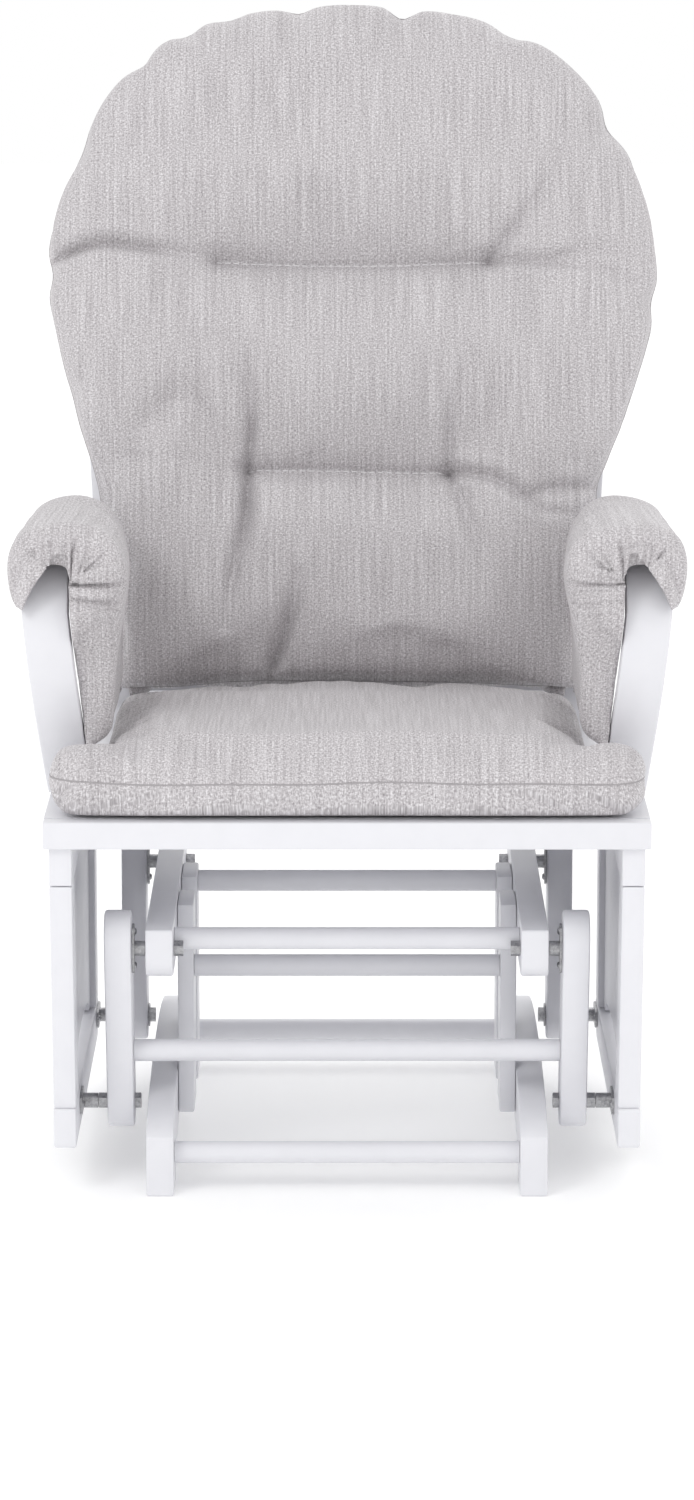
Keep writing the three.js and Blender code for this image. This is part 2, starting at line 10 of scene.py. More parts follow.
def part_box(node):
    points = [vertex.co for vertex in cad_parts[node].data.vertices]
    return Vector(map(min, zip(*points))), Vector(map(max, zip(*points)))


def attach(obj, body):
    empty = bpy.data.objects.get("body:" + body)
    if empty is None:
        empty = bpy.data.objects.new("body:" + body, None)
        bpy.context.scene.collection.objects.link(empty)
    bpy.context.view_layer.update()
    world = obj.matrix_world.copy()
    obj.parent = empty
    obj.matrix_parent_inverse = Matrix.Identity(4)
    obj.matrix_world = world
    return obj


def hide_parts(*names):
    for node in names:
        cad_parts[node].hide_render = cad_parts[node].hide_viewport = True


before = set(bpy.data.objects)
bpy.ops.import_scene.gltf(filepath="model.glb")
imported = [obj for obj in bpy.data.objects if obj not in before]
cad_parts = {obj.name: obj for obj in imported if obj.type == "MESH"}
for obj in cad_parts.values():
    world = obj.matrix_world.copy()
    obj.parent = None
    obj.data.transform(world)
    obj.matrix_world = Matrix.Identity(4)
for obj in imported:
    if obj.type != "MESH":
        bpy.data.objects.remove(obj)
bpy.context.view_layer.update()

# Glider nursery chair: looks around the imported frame. Metres; x to the viewer's right, y to the rear, z up.
MM = 0.001

# ---------- Places read from the frame ----------

SEAT_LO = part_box("seat_cushion")[0]
STILE_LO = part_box("back_stile_right")[0]
ARM_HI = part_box("arm_right")[1]
PAD_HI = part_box("arm_pad_right")[1]

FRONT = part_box("seat_apron")[0].y  # front face of the apron; cushion outlines are drawn from here
RECLINE = math.radians(17)
BOARD = 22 * MM
SIN_R = math.sin(RECLINE)
COS_R = math.cos(RECLINE)

# The reclined plane of the back: v runs up it, w out of its front.
BACK_ORIGIN = np.array([0.0, STILE_LO.y, STILE_LO.z + BOARD * SIN_R])
AXIS_V = np.array([0.0, SIN_R, COS_R])
AXIS_W = np.array([0.0, -COS_R, SIN_R])


# ---------- Camera, lights and floor ----------

CAMERA_BACK = 4850 * MM  # in front of the apron
CAMERA_HEIGHT = 1412 * MM
CAMERA_PITCH = math.radians(11.15)
CAMERA_LENS = 124.05


def make_camera():
    data = bpy.data.cameras.new("camera")
    data.lens = CAMERA_LENS
    data.sensor_width = 36
    data.clip_end = 60
    camera = bpy.data.objects.new("camera", data)
    camera.location = (0, FRONT - CAMERA_BACK, CAMERA_HEIGHT)
    camera.rotation_euler = (math.pi / 2 - CAMERA_PITCH, 0, 0)
    bpy.context.scene.collection.objects.link(camera)
    bpy.context.scene.camera = camera


def area_light(name, place, target, size, watts):
    data = bpy.data.lights.new(name, "AREA")
    data.shape = "RECTANGLE"
    data.size, data.size_y = size
    data.energy = watts
    light = bpy.data.objects.new(name, data)
    light.location = place
    light.rotation_euler = (Vector(target) - Vector(place)).to_track_quat("-Z", "Y").to_euler()
    bpy.context.scene.collection.objects.link(light)


def make_studio():
    bpy.context.scene.view_settings.view_transform = "Standard"
    world = bpy.data.worlds.new("studio")
    world.use_nodes = True
    world.node_tree.nodes["Background"].inputs["Color"].default_value = (1.0, 1.0, 1.0, 1)
    world.node_tree.nodes["Background"].inputs["Strength"].default_value = 1.0
    bpy.context.scene.world = world
    area_light("key", (-1.9, -3.0, 3.1), (0, 0, 0.6), (1.2, 1.2), 27)
    area_light("fill", (2.6, -2.6, 1.5), (0, 0, 0.6), (1.8, 1.8), 5)
    area_light("rim", (0.4, 2.4, 2.6), (0, 0.2, 0.8), (1.6, 1.0), 12)
    bpy.ops.mesh.primitive_plane_add(size=24)
    floor = bpy.context.object
    floor.name = "floor"
    floor.data.materials.append(floor_material())


# ---------- Materials ----------

def new_material(name):
    material = bpy.data.materials.new(name)
    material.use_nodes = True
    tree = material.node_tree
    return material, tree, tree.nodes["Principled BSDF"]


def add_node(tree, kind, **values):
    node = tree.nodes.new(kind)
    for key, value in values.items():
        if hasattr(node, key):
            setattr(node, key, value)
        else:
            node.inputs[key.replace("_", " ")].default_value = value
    return node


def floor_material():
    material, tree, shader = new_material("pale_floor")
    noise = add_node(tree, "ShaderNodeTexNoise", Scale=3.0, Detail=3.0)
    ramp = add_node(tree, "ShaderNodeValToRGB")
    ramp.color_ramp.elements[0].color = (0.93, 0.93, 0.93, 1)
    ramp.color_ramp.elements[1].color = (0.95, 0.95, 0.95, 1)
    tree.links.new(noise.outputs["Fac"], ramp.inputs["Fac"])
    tree.links.new(ramp.outputs["Color"], shader.inputs["Base Color"])
    shader.inputs["Roughness"].default_value = 0.9
    shader.inputs["Emission Color"].default_value = (1, 1, 1, 1)
    shader.inputs["Emission Strength"].default_value = 0.16
    return material


LINEN_TONES = [  # place along the weave's ramp, and the colour there
    (0.35, (0.295, 0.277, 0.287)), (0.49, (0.500, 0.477, 0.489)), (0.63, (0.755, 0.737, 0.752)),
]


def linen_material(name, up):
    """Slubby linen. up is the warp direction: the slubs run along it."""
    material, tree, shader = new_material(name)
    link = tree.links.new
    coords = add_node(tree, "ShaderNodeTexCoord")
    across = Vector((1, 0, 0))
    warp = Vector(up).normalized()

    def along(direction):
        dot = add_node(tree, "ShaderNodeVectorMath", operation="DOT_PRODUCT")
        dot.inputs[1].default_value = direction
        link(coords.outputs["Object"], dot.inputs[0])
        return dot.outputs["Value"]

    # Across the threads: x, but on faces turned sideways the direction out of the cloth's plane.
    facing = add_node(tree, "ShaderNodeVectorMath", operation="DOT_PRODUCT")
    facing.inputs[1].default_value = across
    link(coords.outputs["Normal"], facing.inputs[0])
    size = add_node(tree, "ShaderNodeMath", operation="ABSOLUTE")
    link(facing.outputs["Value"], size.inputs[0])
    sideways = add_node(tree, "ShaderNodeMath", operation="GREATER_THAN")
    sideways.inputs[1].default_value = 0.74
    link(size.outputs[0], sideways.inputs[0])
    side = add_node(tree, "ShaderNodeMix", data_type="FLOAT")
    link(sideways.outputs[0], side.inputs[0])
    link(along(across), side.inputs[2])
    link(along(across.cross(warp)), side.inputs[3])
    lay = add_node(tree, "ShaderNodeCombineXYZ")
    link(side.outputs[0], lay.inputs["X"])
    link(along(warp), lay.inputs["Y"])

    def streaks(x_per_m, y_per_m, detail):
        stretch = add_node(tree, "ShaderNodeMapping")
        stretch.inputs["Scale"].default_value = (x_per_m, y_per_m, 1)
        noise = add_node(tree, "ShaderNodeTexNoise", Scale=1.0, Detail=detail, Roughness=0.6)
        link(lay.outputs[0], stretch.inputs["Vector"])
        link(stretch.outputs[0], noise.inputs["Vector"])
        return noise.outputs["Fac"]

    def mixed(a, b, factor):
        mix = add_node(tree, "ShaderNodeMix", data_type="FLOAT")
        mix.inputs[0].default_value = factor
        link(a, mix.inputs[2])
        link(b, mix.inputs[3])
        return mix.outputs[0]

    slubs = streaks(430, 10, 2.0)
    warp_threads = streaks(820, 430, 1.0)
    weft_threads = streaks(360, 820, 1.0)
    cloudy = streaks(9, 9, 3.0)
    threads = mixed(warp_threads, weft_threads, 0.5)
    weave = mixed(threads, slubs, 0.24)

    tone = add_node(tree, "ShaderNodeValToRGB")
    for place, colour in LINEN_TONES:
        stop = tone.color_ramp.elements.new(place)
        stop.color = (*colour, 1)
    tone.color_ramp.elements.remove(tone.color_ramp.elements[0])
    tone.color_ramp.elements.remove(tone.color_ramp.elements[-1])
    link(weave, tone.inputs["Fac"])
    shade = add_node(tree, "ShaderNodeMix", data_type="RGBA", blend_type="MULTIPLY")
    shade.inputs[0].default_value = 0.22
    patches = add_node(tree, "ShaderNodeValToRGB")
    patches.color_ramp.elements[0].color = (0.8, 0.79, 0.8, 1)
    patches.color_ramp.elements[1].color = (1, 1, 1, 1)
    link(cloudy, patches.inputs["Fac"])
    link(tone.outputs["Color"], shade.inputs[6])
    link(patches.outputs["Color"], shade.inputs[7])
    link(shade.outputs[2], shader.inputs["Base Color"])
    shader.inputs["Roughness"].default_value = 0.92
    shader.inputs["Sheen Weight"].default_value = 0.25
    shader.inputs["Sheen Roughness"].default_value = 0.5
    shader.inputs["Specular IOR Level"].default_value = 0.2
    bump = add_node(tree, "ShaderNodeBump", Strength=0.55, Distance=0.0006)
    link(weave, bump.inputs["Height"])
    link(bump.outputs["Normal"], shader.inputs["Normal"])
    return material


def paint_material():
    material, tree, shader = new_material("satin_white_paint")
    link = tree.links.new
    coords = add_node(tree, "ShaderNodeTexCoord")
    brush = add_node(tree, "ShaderNodeTexNoise", Scale=35.0, Detail=4.0, Roughness=0.55)
    link(coords.outputs["Object"], brush.inputs["Vector"])
    tone = add_node(tree, "ShaderNodeValToRGB")
    tone.color_ramp.elements[0].position = 0.35
    tone.color_ramp.elements[0].color = (0.735, 0.735, 0.768, 1)
    tone.color_ramp.elements[1].position = 0.65
    tone.color_ramp.elements[1].color = (0.752, 0.752, 0.785, 1)
    link(brush.outputs["Fac"], tone.inputs["Fac"])
    link(tone.outputs["Color"], shader.inputs["Base Color"])
    gloss = add_node(tree, "ShaderNodeMapRange")
    gloss.inputs["To Min"].default_value = 0.30
    gloss.inputs["To Max"].default_value = 0.42
    link(brush.outputs["Fac"], gloss.inputs["Value"])
    link(gloss.outputs["Result"], shader.inputs["Roughness"])
    grain = add_node(tree, "ShaderNodeTexNoise", Scale=260.0, Detail=2.0)
    link(coords.outputs["Object"], grain.inputs["Vector"])
    bump = add_node(tree, "ShaderNodeBump", Strength=0.08, Distance=0.0003)
    link(grain.outputs["Fac"], bump.inputs["Height"])
    link(bump.outputs["Normal"], shader.inputs["Normal"])
    return material


def metal_material(name, light, dark, rough):
    material, tree, shader = new_material(name)
    link = tree.links.new
    coords = add_node(tree, "ShaderNodeTexCoord")
    mottle = add_node(tree, "ShaderNodeTexNoise", Scale=240.0, Detail=5.0, Roughness=0.7)
    link(coords.outputs["Object"], mottle.inputs["Vector"])
    tone = add_node(tree, "ShaderNodeValToRGB")
    tone.color_ramp.elements[0].position = 0.3
    tone.color_ramp.elements[0].color = (*dark, 1)
    tone.color_ramp.elements[1].position = 0.7
    tone.color_ramp.elements[1].color = (*light, 1)
    link(mottle.outputs["Fac"], tone.inputs["Fac"])
    link(tone.outputs["Color"], shader.inputs["Base Color"])
    gloss = add_node(tree, "ShaderNodeMapRange")
    gloss.inputs["To Min"].default_value = rough - 0.1
    gloss.inputs["To Max"].default_value = rough + 0.15
    link(mottle.outputs["Fac"], gloss.inputs["Value"])
    link(gloss.outputs["Result"], shader.inputs["Roughness"])
    shader.inputs["Metallic"].default_value = 1.0
    bump = add_node(tree, "ShaderNodeBump", Strength=0.2, Distance=0.0002)
    link(mottle.outputs["Fac"], bump.inputs["Height"])
    link(bump.outputs["Normal"], shader.inputs["Normal"])
    return material


def thread_material(name, colour):
    material, tree, shader = new_material(name)
    link = tree.links.new
    coords = add_node(tree, "ShaderNodeTexCoord")
    twist = add_node(tree, "ShaderNodeTexNoise", Scale=900.0, Detail=1.0)
    link(coords.outputs["Object"], twist.inputs["Vector"])
    tone = add_node(tree, "ShaderNodeValToRGB")
    tone.color_ramp.elements[0].color = (*(0.8 * c for c in colour), 1)
    tone.color_ramp.elements[1].color = (*colour, 1)
    link(twist.outputs["Fac"], tone.inputs["Fac"])
    link(tone.outputs["Color"], shader.inputs["Base Color"])
    shader.inputs["Roughness"].default_value = 0.8
    return material


# ---------- Mesh helpers ----------

def make_object(name, vertices, faces, material=None):
    mesh = bpy.data.meshes.new(name)
    mesh.from_pydata([tuple(v) for v in vertices], [], [tuple(f) for f in faces])
    mesh.validate()
    piece = bpy.data.objects.new(name, mesh)
    bpy.context.scene.collection.objects.link(piece)
    if material:
        mesh.materials.append(material)
    mesh.polygons.foreach_set("use_smooth", [True] * len(mesh.polygons))
    return piece


def vertices_of(piece):
    flat = np.empty(len(piece.data.vertices) * 3)
    piece.data.vertices.foreach_get("co", flat)
    return flat.reshape(-1, 3)


def set_vertices(piece, points):
    piece.data.vertices.foreach_set("co", np.asarray(points, float).ravel())
    piece.data.update()


def apply_modifiers(piece):
    bpy.context.view_layer.objects.active = piece
    for modifier in list(piece.modifiers):
        bpy.ops.object.modifier_apply(modifier=modifier.name)


def remesh(piece, voxel):
    modifier = piece.modifiers.new("remesh", "REMESH")
    modifier.mode = "VOXEL"
    modifier.voxel_size = voxel
    modifier.use_smooth_shade = True
    apply_modifiers(piece)


def subdivide(piece):
    modifier = piece.modifiers.new("subdivision", "SUBSURF")
    modifier.levels = 1
    modifier.render_levels = 1
    apply_modifiers(piece)


def relax(piece, steps):
    modifier = piece.modifiers.new("relax", "SMOOTH")
    modifier.iterations = steps
    modifier.factor = 0.5
    apply_modifiers(piece)


def smooth_curve(points, count, closed=False):
    """A Catmull-Rom curve through the points, as count points at equal steps along it."""
    p = np.asarray(points, float)
    if closed:
        p = np.vstack([p[-1], p, p[0], p[1]])
    else:
        p = np.vstack([2 * p[0] - p[1], p, 2 * p[-1] - p[-2]])
    dense = []
    for a, b, c, d in zip(p, p[1:], p[2:], p[3:]):
        t = np.linspace(0, 1, 24, endpoint=False)[:, None]
        square = (2 * a - 5 * b + 4 * c - d) * t**2
        cube = (3 * b - a - 3 * c + d) * t**3
        dense.append(0.5 * (2 * b + (c - a) * t + square + cube))
    dense.append(p[-2][None])
    dense = np.vstack(dense)
    run = np.concatenate([[0], np.cumsum(np.linalg.norm(np.diff(dense, axis=0), axis=1))])
    wanted = np.linspace(0, run[-1], count, endpoint=not closed)
    return np.stack([np.interp(wanted, run, dense[:, i]) for i in range(dense.shape[1])], axis=1)


def distance_to(points, line):
    """Distance from each 2-D point to a polyline, and how far along it (0 to 1) the nearest place is."""
    best = np.full(len(points), 1e9)
    place = np.zeros(len(points))
    run = np.concatenate([[0], np.cumsum(np.linalg.norm(np.diff(line, axis=0), axis=1))])
    for i, (a, b) in enumerate(zip(line, line[1:])):
        edge = b - a
        length = np.linalg.norm(edge) + 1e-12
        t = np.clip((points - a) @ edge / length**2, 0, 1)
        gap = np.linalg.norm(points - a - t[:, None] * edge, axis=1)
        nearer = gap < best
        best[nearer] = gap[nearer]
        place[nearer] = (run[i] + t[nearer] * length) / run[-1]
    return best, place


def bump_noise(points, size, seed):
    """Smooth repeatable noise of about -1 to 1 over 2-D or 3-D points, with lumps of the given size."""
    draw = np.random.default_rng(seed)
    total = np.zeros(len(points))
    waves = 14
    for _ in range(waves):
        heading = draw.normal(size=points.shape[1])
        heading /= np.linalg.norm(heading)
        length = size * draw.uniform(0.7, 1.5)
        total += np.sin(points @ heading * 2 * math.pi / length + draw.uniform(0, 6.28))
    return total / math.sqrt(waves)


def notched(rim, centre, notches):
    """The outline drawn in towards its centre at each notch: place, depth and width in millimetres."""
    for x, y, deep, wide in notches:
        gap = np.linalg.norm(rim - np.array([x, y]) * MM, axis=1)
        inward = centre - rim
        inward /= np.linalg.norm(inward, axis=1, keepdims=True)
        rim = rim + inward * (deep * MM * np.exp(-(gap / (wide * MM)) ** 2))[:, None]
    return rim


def close_up(piece, reach):
    """Merges the vertices closer than reach and turns every face outwards."""
    mesh = bmesh.new()
    mesh.from_mesh(piece.data)
    bmesh.ops.remove_doubles(mesh, verts=mesh.verts, dist=reach)
    bmesh.ops.recalc_face_normals(mesh, faces=mesh.faces)
    mesh.to_mesh(piece.data)
    mesh.free()


def pillow(name, rim, centre, lift, place, rings=60):
    """A closed body over a flat outline. lift(points, depth) gives the two heights; place maps to 3-D."""
    count = len(rim)
    sheets = []
    points = [centre[None]]
    for s in np.linspace(0, 1, rings + 1)[1:]:
        points.append(centre + (rim - centre) * s)
    flat = np.vstack(points)
    depth, _ = distance_to(flat, np.vstack([rim, rim[:1]]))
    depth[-count:] = 0
    front, back = lift(flat, depth)
    for side, height in enumerate((front, back)):
        sheets.append(place(flat, height))
    total = len(flat)
    vertices = np.vstack(sheets)
    faces = []
    for k in range(2):
        base = k * total
        turn = (lambda f: f) if k == 0 else (lambda f: f[::-1])
        for j in range(count):
            n = (j + 1) % count
            faces.append(turn((base, base + 1 + j, base + 1 + n)))
            for i in range(rings - 1):
                a = base + 1 + i * count
                faces.append(turn((a + j, a + count + j, a + count + n, a + n)))
    rim_front = total - count
    rim_back = 2 * total - count
    for j in range(count):
        n = (j + 1) % count
        faces.append((rim_front + j, rim_back + j, rim_back + n, rim_front + n))
    piece = make_object(name, vertices, faces)
    close_up(piece, 1e-6)
    return piece


SIM_FRAMES = 20


def inflate(piece, pinned, seam, pressure, slack, gather, cap, bend=0.4):
    """Cloth simulation of a stuffed cover. pinned and seam are 0 to 1 for each vertex; cap limits moves."""
    start = vertices_of(piece)
    for label, weights in (("pinned", pinned), ("seam", seam)):
        group = piece.vertex_groups.new(name=label)
        for index in np.nonzero(weights > 0.01)[0]:
            group.add([int(index)], float(weights[index]), "REPLACE")
    cloth = piece.modifiers.new("cloth", "CLOTH")
    settings = cloth.settings
    settings.quality = 5
    settings.mass = 0.25
    settings.air_damping = 2.0
    settings.tension_stiffness = 25
    settings.compression_stiffness = 25
    settings.shear_stiffness = 8
    settings.bending_stiffness = bend
    settings.use_pressure = True
    settings.uniform_pressure_force = pressure
    settings.vertex_group_mass = "pinned"
    settings.pin_stiffness = 1.0
    settings.vertex_group_shrink = "seam"
    settings.shrink_min = -slack
    settings.shrink_max = gather
    settings.effector_weights.gravity = 0
    cloth.point_cache.frame_start = 1
    cloth.point_cache.frame_end = SIM_FRAMES
    scene = bpy.context.scene
    for number in range(1, SIM_FRAMES + 1):
        scene.frame_set(number)
    apply_modifiers(piece)
    scene.frame_set(1)
    move = vertices_of(piece) - start
    length = np.linalg.norm(move, axis=1, keepdims=True)
    move *= np.minimum(1, cap / np.maximum(length, 1e-9))
    set_vertices(piece, start + move)
    piece.vertex_groups.clear()


# ---------- Back cushion ----------

BACK_BASE = 4 * MM  # w of the cushion's rear face
BACK_DEEP = 104 * MM
BACK_MID = 46 * MM  # w of its seam
BACK_CENTRE = np.array([0.0, 0.45])  # x and v


def back_place(flat, w):
    return BACK_ORIGIN + flat[:, :1] * np.array([1.0, 0, 0]) + flat[:, 1:2] * AXIS_V + w[:, None] * AXIS_W


def back_local(points):
    off = points - BACK_ORIGIN
    return np.stack([points[:, 0], off @ AXIS_V, off @ AXIS_W], axis=1)


def back_rim():
    right = [
        (0, 96), (130, 94), (236, 92), (254, 108), (257, 174), (262, 250), (268, 318), (292, 372),
        (314, 440), (327, 512), (323, 586), (300, 655), (272, 712), (232, 758), (182, 792), (122, 811),
        (60, 819), (0, 822),
    ]
    left = [(-x * 0.965, v) for x, v in right[-2:0:-1]]
    return smooth_curve(np.array(right + left) * MM, 300, closed=True)


# Where the cover is stitched through, and the folds that run on from the stitching, in (x, v).
STITCH_UPPER = smooth_curve(np.array([(-138, 542), (-60, 539), (40, 538), (150, 542)]) * MM, 40)
STITCH_LOWER = smooth_curve(np.array([(-104, 319), (-40, 318), (40, 317), (108, 316)]) * MM, 40)
FOLDS = [  # points, depth, narrow width, broad width
    ([(-326, 540), (-262, 556), (-200, 550), (-138, 543)], 28, 4.5, 32),
    ([(150, 542), (205, 537), (262, 528), (325, 506)], 15, 6, 34),
    ([(215, 541), (270, 547), (328, 528)], 9, 7, 26),
    ([(108, 316), (150, 309), (182, 288), (205, 272), (236, 269)], 17, 6, 30),
    ([(276, 303), (235, 300), (196, 290)], 22, 4.5, 18),
    ([(-104, 319), (-99, 377), (-108, 430)], 20, 7, 30),
    ([(-104, 319), (-106, 266), (-118, 207), (-128, 150)], 23, 8, 34),
    ([(-84, 98), (-62, 150), (-50, 206)], 23, 6, 26),
    ([(150, 542), (182, 583), (222, 634)], 13, 11, 36),
    ([(106, 316), (110, 376), (126, 434)], 14, 9, 36),
    ([(108, 316), (126, 265), (146, 206)], 13, 10, 32),
]
NOTCHES = [  # along the rim: (x, v), depth in, width
    (-214, 748, 9, 16), (-168, 786, 9, 13), (-124, 802, 7, 12), (-52, 818, 9, 12), (60, 817, 15, 13),
    (180, 799, 7, 22), (284, 690, 12, 22), (326, 500, 9, 16), (-316, 530, 9, 12), (-300, 400, 4, 16),
    (268, 306, 8, 14), (-282, 660, 3, 26),
]


def stitched_depth(flat):
    """How far stitching and folds draw the front face in, and the pinned weight of the stitch lines."""
    drawn = np.zeros(len(flat))
    pinned = np.zeros(len(flat))
    for line, deep in ((STITCH_UPPER, 40 * MM), (STITCH_LOWER, 34 * MM)):
        gap, _ = distance_to(flat, line)
        valley = 0.5 * np.exp(-(gap / (11 * MM)) ** 2) + 0.5 * np.exp(-(gap / (48 * MM)) ** 2)
        drawn = np.maximum(drawn, deep * valley)
        pinned = np.maximum(pinned, np.clip(1.6 - gap / (5 * MM), 0, 1))
    for points, deep, narrow, broad in FOLDS:
        line = smooth_curve(np.array(points) * MM, 30)
        gap, along = distance_to(flat, line)
        fade = np.clip(1.25 - along, 0, 1)
        valley = 0.55 * np.exp(-(gap / (narrow * MM)) ** 2) + 0.45 * np.exp(-(gap / (broad * MM)) ** 2)
        drawn = np.hypot(drawn, deep * MM * fade * valley)
    return drawn, pinned


def creased(flat):
    """Sharp creases in the finished cover: how far each place is drawn in, less the swelling beside it."""
    drawn = np.zeros(len(flat))
    for line, deep in ((STITCH_UPPER, 7 * MM), (STITCH_LOWER, 6 * MM)):
        gap, _ = distance_to(flat, line)
        drawn = np.maximum(drawn, deep * np.exp(-(gap / (4 * MM)) ** 2))
    for points, deep, _, _ in FOLDS:
        line = smooth_curve(np.array(points) * MM, 30)
        gap, along = distance_to(flat, line)
        fade = np.clip(1.15 - along, 0, 1) * np.clip(along / 0.05, 0.4, 1)
        crease = np.exp(-(gap / (4.5 * MM)) ** 2) - 0.35 * np.exp(-((gap - 14 * MM) / (8 * MM)) ** 2)
        drawn += 0.5 * deep * MM * fade * crease
    return drawn


def back_cushion_mesh():
    rim = notched(back_rim(), BACK_CENTRE, NOTCHES)

    def lift(flat, depth):
        round_off = np.clip(depth / (78 * MM), 0, 1)
        crown = (1 - (1 - round_off) ** 2.3) ** (1 / 2.3)
        drawn, _ = stitched_depth(flat)
        lumps = bump_noise(flat, 0.16, 3) * 3.5 * MM + bump_noise(flat, 0.07, 4) * 1.2 * MM
        held = np.clip(depth / (18 * MM), 0.35, 1)  # stitching and folds are shallower at the edge
        front = BACK_MID + (BACK_DEEP - BACK_MID + lumps) * crown - drawn * held
        fat = 1 - (1 - np.clip(depth / (60 * MM), 0, 1)) ** 2.6
        back = BACK_MID - (BACK_MID - BACK_BASE) * fat ** (1 / 2.6)
        return front, back

    return pillow("back_cushion_soft", rim, BACK_CENTRE, lift, back_place), rim


def make_back_cushion(material):
    piece, rim = back_cushion_mesh()
    remesh(piece, 5.5 * MM)
    relax(piece, 3)
    local = back_local(vertices_of(piece))
    flat = local[:, :2]
    _, pinned = stitched_depth(flat)
    pinned = pinned * (local[:, 2] > BACK_MID)
    rear = np.clip((BACK_BASE + 12 * MM - local[:, 2]) / (10 * MM), 0, 1)
    edge, _ = distance_to(flat, np.vstack([rim, rim[:1]]))
    seam = np.clip(1.4 - edge / (9 * MM), 0, 1) * np.clip(1.5 - abs(local[:, 2] - BACK_MID) / (12 * MM), 0, 1)
    inflate(piece, np.maximum(pinned, rear), seam, pressure=2.4, slack=0.004, gather=0.012,
            cap=9 * MM, bend=4.0)
    relax(piece, 1)
    points = back_local(vertices_of(piece))
    for axis in range(2):  # the filling draws the outline in, so it is let out again to its size
        low, high = points[:, axis].min(), points[:, axis].max()
        share = (points[:, axis] - low) / (high - low)
        points[:, axis] = rim[:, axis].min() + share * np.ptp(rim[:, axis])
    set_vertices(piece, back_place(points[:, :2], points[:, 2]))
    subdivide(piece)
    points = back_local(vertices_of(piece))
    in_front = np.clip((points[:, 2] - BACK_MID) / (20 * MM), 0, 1)
    points[:, 2] = np.maximum(points[:, 2] - creased(points[:, :2]) * in_front, 3 * MM)
    set_vertices(piece, back_place(points[:, :2], points[:, 2]))
    piece.data.materials.append(material)
    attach(piece, "seat")
    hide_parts("back_cushion")
    return piece


# ---------- Seat cushion ----------

SEAM_HEIGHT = 37 * MM  # of the front seam above the cushion's foot
SEAT_CENTRE = np.array([0.0, 0.2])  # x, and y behind the apron's face
SEAT_NOTCHES = [(284, 4, 5, 7), (291, 22, 4, 6), (-286, 6, 4, 9), (268, -2, 3, 6), (-292, 40, 3, 8)]
SEAT_PLEATS = [(281, 12, -0.5, 3.2), (288, 30, -0.15, 2.6), (-280, 14, 0.7, 3.0), (272, 4, -0.9, 2.2)]


def seat_rim():
    half = [
        (0, -3), (150, -4), (262, -1), (286, 10), (292, 34), (289, 58), (272, 73), (250, 80),
        (240, 100), (238, 180), (238, 300), (238, 400), (236, 448), (214, 474), (120, 481), (0, 482),
    ]
    left = [(-x, y) for x, y in half[-2:0:-1]]
    return smooth_curve(np.array(half + left) * MM, 320, closed=True)


def seat_place(flat, height):
    return np.stack([flat[:, 0], flat[:, 1] + FRONT, height + SEAT_LO.z], axis=1)


def seat_seam_height(flat):
    return SEAM_HEIGHT + 1.6 * MM * np.sin(flat[:, 0] * 17 + 0.6) + 1.0 * MM * np.sin(flat[:, 0] * 41)


def make_seat_cushion(material):
    rim = notched(seat_rim(), SEAT_CENTRE, SEAT_NOTCHES)

    def lift(flat, depth):
        crown = (1 - (1 - np.clip(depth / (46 * MM), 0, 1)) ** 2.5) ** (1 / 2.5)
        under = (1 - (1 - np.clip(depth / (34 * MM), 0, 1)) ** 2.6) ** (1 / 2.6)
        top = 72 * MM - 22 * MM * np.clip(flat[:, 1] / 0.48, 0, 1) + bump_noise(flat, 0.2, 8) * 1.6 * MM
        press = 9 * MM * np.exp(-(((flat[:, 1] - 0.42) / 0.07) ** 2))  # where the back cushion bears on it
        seam = seat_seam_height(flat)
        pleats = np.zeros(len(flat))
        for x, y, turn, deep in SEAT_PLEATS:
            off = flat - np.array([x, y]) * MM
            course = np.array([-math.cos(turn), math.sin(turn)])
            across = off @ np.array([course[1], -course[0]])
            run = np.clip(off @ course, 0, 1)
            pleats += deep * MM * np.exp(-(across / (4 * MM)) ** 2) * np.exp(-(run / (26 * MM)) ** 2)
        return seam + (top - press - seam) * crown - pleats, seam - (seam - 0.6 * MM) * under

    piece = pillow("seat_cushion_soft", rim, SEAT_CENTRE, lift, seat_place)
    remesh(piece, 5 * MM)
    relax(piece, 2)
    points = vertices_of(piece)
    flat = points[:, :2] - np.array([0, FRONT])
    edge, _ = distance_to(flat, np.vstack([rim, rim[:1]]))
    height = points[:, 2] - SEAT_LO.z
    bottom = np.clip((7 * MM - height) / (5 * MM), 0, 1)
    from_seam = abs(height - seat_seam_height(flat))
    seam = np.clip(1.4 - edge / (8 * MM), 0, 1) * np.clip(1.5 - from_seam / (8 * MM), 0, 1)
    inflate(piece, np.maximum(bottom, 0.4 * seam), seam, pressure=3.0, slack=0.02, gather=0.05,
            cap=10 * MM)
    relax(piece, 1)
    subdivide(piece)
    points = vertices_of(piece)
    flat = points[:, :2] - np.array([0, FRONT])
    height = points[:, 2] - SEAT_LO.z
    edge, _ = distance_to(flat, np.vstack([rim, rim[:1]]))
    from_seam = height - seat_seam_height(flat)
    groove = np.exp(-(from_seam / (2.6 * MM)) ** 2) * np.clip(2 - edge / (10 * MM), 0, 1)
    inward = SEAT_CENTRE - flat
    inward /= np.linalg.norm(inward, axis=1, keepdims=True)
    points[:, :2] += inward * (1.8 * MM * groove)[:, None]
    points[:, 2] = np.clip(points[:, 2], SEAT_LO.z - 0.4 * MM, None)
    set_vertices(piece, points)
    piece.data.materials.append(material)
    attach(piece, "seat")
    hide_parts("seat_cushion")
    return piece, rim


# ---------- Arm pads ----------

